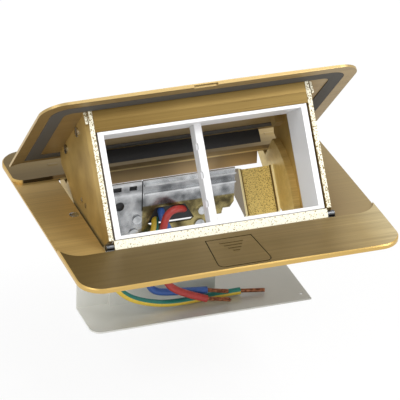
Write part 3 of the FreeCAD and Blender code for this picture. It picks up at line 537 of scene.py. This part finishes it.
def trough_gold():
    shade = Finish("trough_gold", Metallic=0.25, Roughness=0.42)
    broad = speckled(shade, "efd684", "9e7c32", 0.5 * MM, 0.45)
    from_middle = shade.size_of(shade.worked("SUBTRACT", shade.along("X"), TROUGH_MIDDLE))
    # the ribs' near-white is a painted highlight, the dark line inside each a painted shade
    rib = shade.spread(from_middle, 0.0, 1.0, 7.6 * MM, 7.8 * MM)
    shade_line = shade.worked("MULTIPLY", shade.spread(from_middle, 0.0, 1.0, 7.0 * MM, 7.1 * MM),
                          shade.spread(from_middle, 1.0, 0.0, 7.5 * MM, 7.6 * MM))
    front = shade.mixed(shade_line, shade.mixed(rib, broad, "fff2c0"), "6a4f1c")
    # side faces painted dark: painted shade
    side = shade.spread(shade.size_of(shade.facing((1, 0, 0))), 0.0, 0.85, 0.6, 0.9)
    shade.colour(shade.mixed(side, front, "5a4018"))
    shade.bump(shade.noise(1500.0), 0.5, 0.0003)
    return shade.material


dress(trough_gold(), "cable_trough")

# %% [markdown]
# ## Plastics and rubber
# The module frame is satin white moulding: nearly neutral, a faint ripple, broad soft reflections, and
# side walls painted greyer as shade. Rubber is rougher and lighter than black, because it scatters
# light in its skin; the apron's rubber is painted near black as shade.

# %% Plastics and rubber
def moulded(name, colour, roughness, ripple=0.1, side_wall_shade=None):
    """Moulded plastic; inner is the greyer tone of side walls, a painted shade."""
    shade = Finish(name, Roughness=roughness, IOR=1.5)
    deeper = tuple(0.8 * part for part in linear(colour)[:3]) + (1.0,)
    plastic = shade.mixed(shade.spread(shade.noise(45.0), 0.0, 0.12), colour, deeper)
    if side_wall_shade:
        # side walls painted greyer: painted shade
        sides = shade.spread(shade.size_of(shade.facing((1, 0, 0))), 0.0, 1.0, 0.7, 0.9)
        plastic = shade.mixed(sides, plastic, side_wall_shade)
    shade.colour(plastic)
    shade.bump(shade.noise(1600.0), ripple, 0.0001)
    return shade.material


dress(moulded("white_moulding", "f0f0f2", 0.32, side_wall_shade="d2d3d4"), "module_frame")
dress(moulded("black_moulding", "1c1c1e", 0.45), "latch_housing", "cable_clamp")
dress(moulded("gasket_rubber", "4c4a46", 0.7, 0.3), "lid_gasket")
# the apron's near-black rubber is painted shade, darker than the gasket's
dress(moulded("shaded_apron_rubber", "2b2b2d", 0.5, 0.2), "rear_seal")

# %% [markdown]
# ## Steel
# The tray is dull galvanised sheet, grey with faint clouds, painted darker towards its right end as
# shade. The bracket is zinc plated and shinier, with a hammered look where it was pressed. Screws and
# pins are the brightest.

# %% Steel parts
def steel(name, dark, light, roughness, cloud_size, dent=0.0, metallic=1.0, shaded_far_end=None):
    """Clouded sheet or bar; shaded_far_end is the darker tone that it reaches on the right, a painted
    shade.
    """
    shade = Finish(name, Metallic=metallic, Roughness=roughness)
    clouds = shade.noise(1.0 / cloud_size, 3.0)
    metal = shade.ramp(clouds, [(0.3, dark), (0.7, light)])
    if shaded_far_end:
        # the right end painted darker: painted shade
        right = shade.spread(shade.along("X"), 0.0, 1.0, 0.0, 50 * MM)
        metal = shade.mixed(right, metal, shaded_far_end)
    shade.colour(metal)
    shade.rough(shade.spread(clouds, roughness - 0.06, roughness + 0.1))
    shade.bump(clouds, dent, 0.0006)
    return shade.material


dress(steel("tray_sheet", "cecec8", "e0e0da", 0.42, 30 * MM, metallic=0.45, shaded_far_end="a8a69e"),
      "cable_tray")
dress(steel("zinc_plate", "8c8f90", "dcdedd", 0.24, 6 * MM, dent=0.35), "latch_slider")
dress(steel("bright_steel", "9fa2a4", "d6d8da", 0.22, 4 * MM), "hinge_pins", "tray_rivets",
      "cheek_screws", "bracket_screws", "clamp_screws", "latch_screws", "rest_studs")
dress(steel("dark_steel", "4e5052", "8a8c8e", 0.3, 4 * MM), "stop_pins")
dress(steel("spring_steel", "55585a", "8e9294", 0.3, 4 * MM), "hinge_springs", "button_spring")

# %% [markdown]
# The bracket is pressed from zinc-plated sheet. Each fold mirrors another part of the room, so its
# cross bar shows bands, and the low plate round the cable hole a painted olive reflection. Bands by
# height say this better than clouds alone, and the hammered dents go over both.

# %% The bracket
BRACKET_LOW, BRACKET_HIGH = -19 * MM, 10 * MM
OLIVE_REFLECTION_TOP = -4 * MM           # the painted olive reflection ends here, and at the upright seam
SEAM_X = -23 * MM


def bracket_zinc():
    """Zinc plate with hammered reflections: bands on the cross bar, olive round the cable hole."""
    shade = Finish("bracket_zinc", Metallic=0.8, Roughness=0.24)
    clouds = shade.noise(170.0, 4.0)
    height = shade.spread(shade.along("Z"), 0.0, 1.0, BRACKET_LOW, BRACKET_HIGH)
    bands = shade.ramp(height, [(0.0, "8e9092"), (0.30, "a4a6a8"), (0.62, "5c5e60"), (0.76, "d8dadc"),
                                (0.82, "55575a"), (0.88, "8c8e90"), (0.94, "f2f4f5"), (1.0, "c8cacc")])
    dents = shade.ramp(clouds, [(0.34, "55585a"), (0.5, "b6b8ba"), (0.66, "f4f6f7")])
    # painted olive reflection on the low plate round the cable hole
    low = shade.spread(shade.along("Z"), 1.0, 0.0, OLIVE_REFLECTION_TOP - 0.2 * MM, OLIVE_REFLECTION_TOP + 0.4 * MM)
    right = shade.spread(shade.along("X"), 0.0, 1.0, SEAM_X - 0.4 * MM, SEAM_X + 0.2 * MM)
    olive_reflection = shade.ramp(clouds, [(0.35, "4a4228"), (0.65, "a89a68")])
    shade.colour(shade.mixed(shade.worked("MULTIPLY", low, right), shade.mixed(0.35, bands, dents), olive_reflection))
    shade.bump(clouds, 0.4, 0.0006)
    return shade.material


dress(bracket_zinc(), "tray_bracket")

# %% [markdown]
# ## Softened edges
# No real edge is sharp. A narrow bevel catches the light and tells the eye how thick the metal is. It
# is added only where the angle is steep, so curved faces stay as they are.

# %% Edge softening
def soften(width_mm, *names):
    for name in names:
        edge = nodes[name].modifiers.new("edge", "BEVEL")
        edge.width = width_mm * MM
        edge.segments = 2
        edge.limit_method = "ANGLE"
        edge.angle_limit = math.radians(40)
        edge.harden_normals = True
    print("edges of", width_mm, "mm on", ", ".join(names))


soften(0.25, "module_frame", "sill_strip", "cheek_left", "cheek_right", "cable_trough")

# %% [markdown]
# ## The floor
# The floor is white and only catches the shadow. What the camera and the metal see of it is made
# plain white, so that bare metal mirrors a bright studio and not a dark room. It lies a little
# deeper than the shut carriage reaches, because the box hangs in a recess.

# %% Floor
FLOOR_DEPTH = 90 * MM        # the tray of the shut box reaches 81.5 mm down
FLOOR_HALF = 3.0
FLOOR_GREY = 0.86
SEEN_AS_WHITE = 0.86         # share of plain white in what the camera and the metal see


def floor_white():
    """A white that takes a shadow, mixed with plain white for the camera and for mirrors."""
    shade = Finish("floor_white", Base_Color=(FLOOR_GREY, FLOOR_GREY, FLOOR_GREY, 1.0), Roughness=0.9,
                   Specular_IOR_Level=0.0)
    rays = shade.add("LightPath")
    seen = shade.worked("MAXIMUM", rays.outputs["Is Camera Ray"], rays.outputs["Is Glossy Ray"])
    lit = shade.add("MixShader")
    shade.join(shade.worked("MULTIPLY", seen, SEEN_AS_WHITE), lit.inputs["Fac"])
    shade.join(shade.surface.outputs["BSDF"], lit.inputs[1])
    shade.join(shade.add("Emission").outputs["Emission"], lit.inputs[2])
    shade.join(lit.outputs["Shader"], shade.tree.nodes["Material Output"].inputs["Surface"])
    return shade.material


def studio_floor():
    mesh = bpy.data.meshes.new("floor")
    corners = [(x * FLOOR_HALF, y * FLOOR_HALF, -FLOOR_DEPTH)
               for x, y in ((-1, -1), (1, -1), (1, 1), (-1, 1))]
    mesh.from_pydata(corners, [], [(0, 1, 2, 3)])
    mesh.materials.append(floor_white())
    floor = bpy.data.objects.new("floor", mesh)
    bpy.context.collection.objects.link(floor)
    print("floor", round(FLOOR_DEPTH / MM), "mm under the plate")


studio_floor()

# %% [markdown]
# ## Light
# Two large soft lamps stand left and right of the viewer, and a white world fills the shadows, as in
# a light tent. One hard lamp would show more relief but burn the crowned brass. The world is a
# little weaker as a lamp than as a background, so white plastic keeps its shape against it.

# %% World and lamps
WORLD_LIGHT = 0.8


def studio_world():
    world = bpy.data.worlds.new("studio")
    bpy.context.scene.world = world
    world.use_nodes = True
    tree = world.node_tree
    sky = tree.nodes["Background"]
    sky.inputs["Color"].default_value = (1.0, 1.0, 1.0, 1.0)
    sky.inputs["Strength"].default_value = WORLD_LIGHT
    white = tree.nodes.new("ShaderNodeBackground")
    white.inputs["Strength"].default_value = 1.0
    rays = tree.nodes.new("ShaderNodeLightPath")
    seen = rays.outputs["Is Camera Ray"]
    for kind in ("Is Glossy Ray", "Is Transmission Ray"):
        either = tree.nodes.new("ShaderNodeMath")
        either.operation = "MAXIMUM"
        tree.links.new(seen, either.inputs[0])
        tree.links.new(rays.outputs[kind], either.inputs[1])
        seen = either.outputs["Value"]
    mix = tree.nodes.new("ShaderNodeMixShader")
    tree.links.new(seen, mix.inputs["Fac"])
    tree.links.new(sky.outputs["Background"], mix.inputs[1])
    tree.links.new(white.outputs["Background"], mix.inputs[2])
    tree.links.new(mix.outputs["Shader"], tree.nodes["World Output"].inputs["Surface"])


def soft_box(name, place, size, power):
    """A square area lamp that looks at the middle of the box."""
    lamp = bpy.data.lights.new(name, "AREA")
    lamp.size = size
    lamp.energy = power
    holder = bpy.data.objects.new(name, lamp)
    bpy.context.collection.objects.link(holder)
    holder.location = place
    holder.rotation_euler = (-Vector(place)).to_track_quat("-Z", "Y").to_euler()
    print(name, "lamp of", power, "watts,", round(Vector(place).length, 2), "m away")


studio_world()
soft_box("key", (0.9, -0.5, 1.2), 0.8, 14.0)
soft_box("fill", (-1.1, -0.7, 0.9), 1.0, 11.0)
bpy.context.scene.view_settings.view_transform = "Standard"
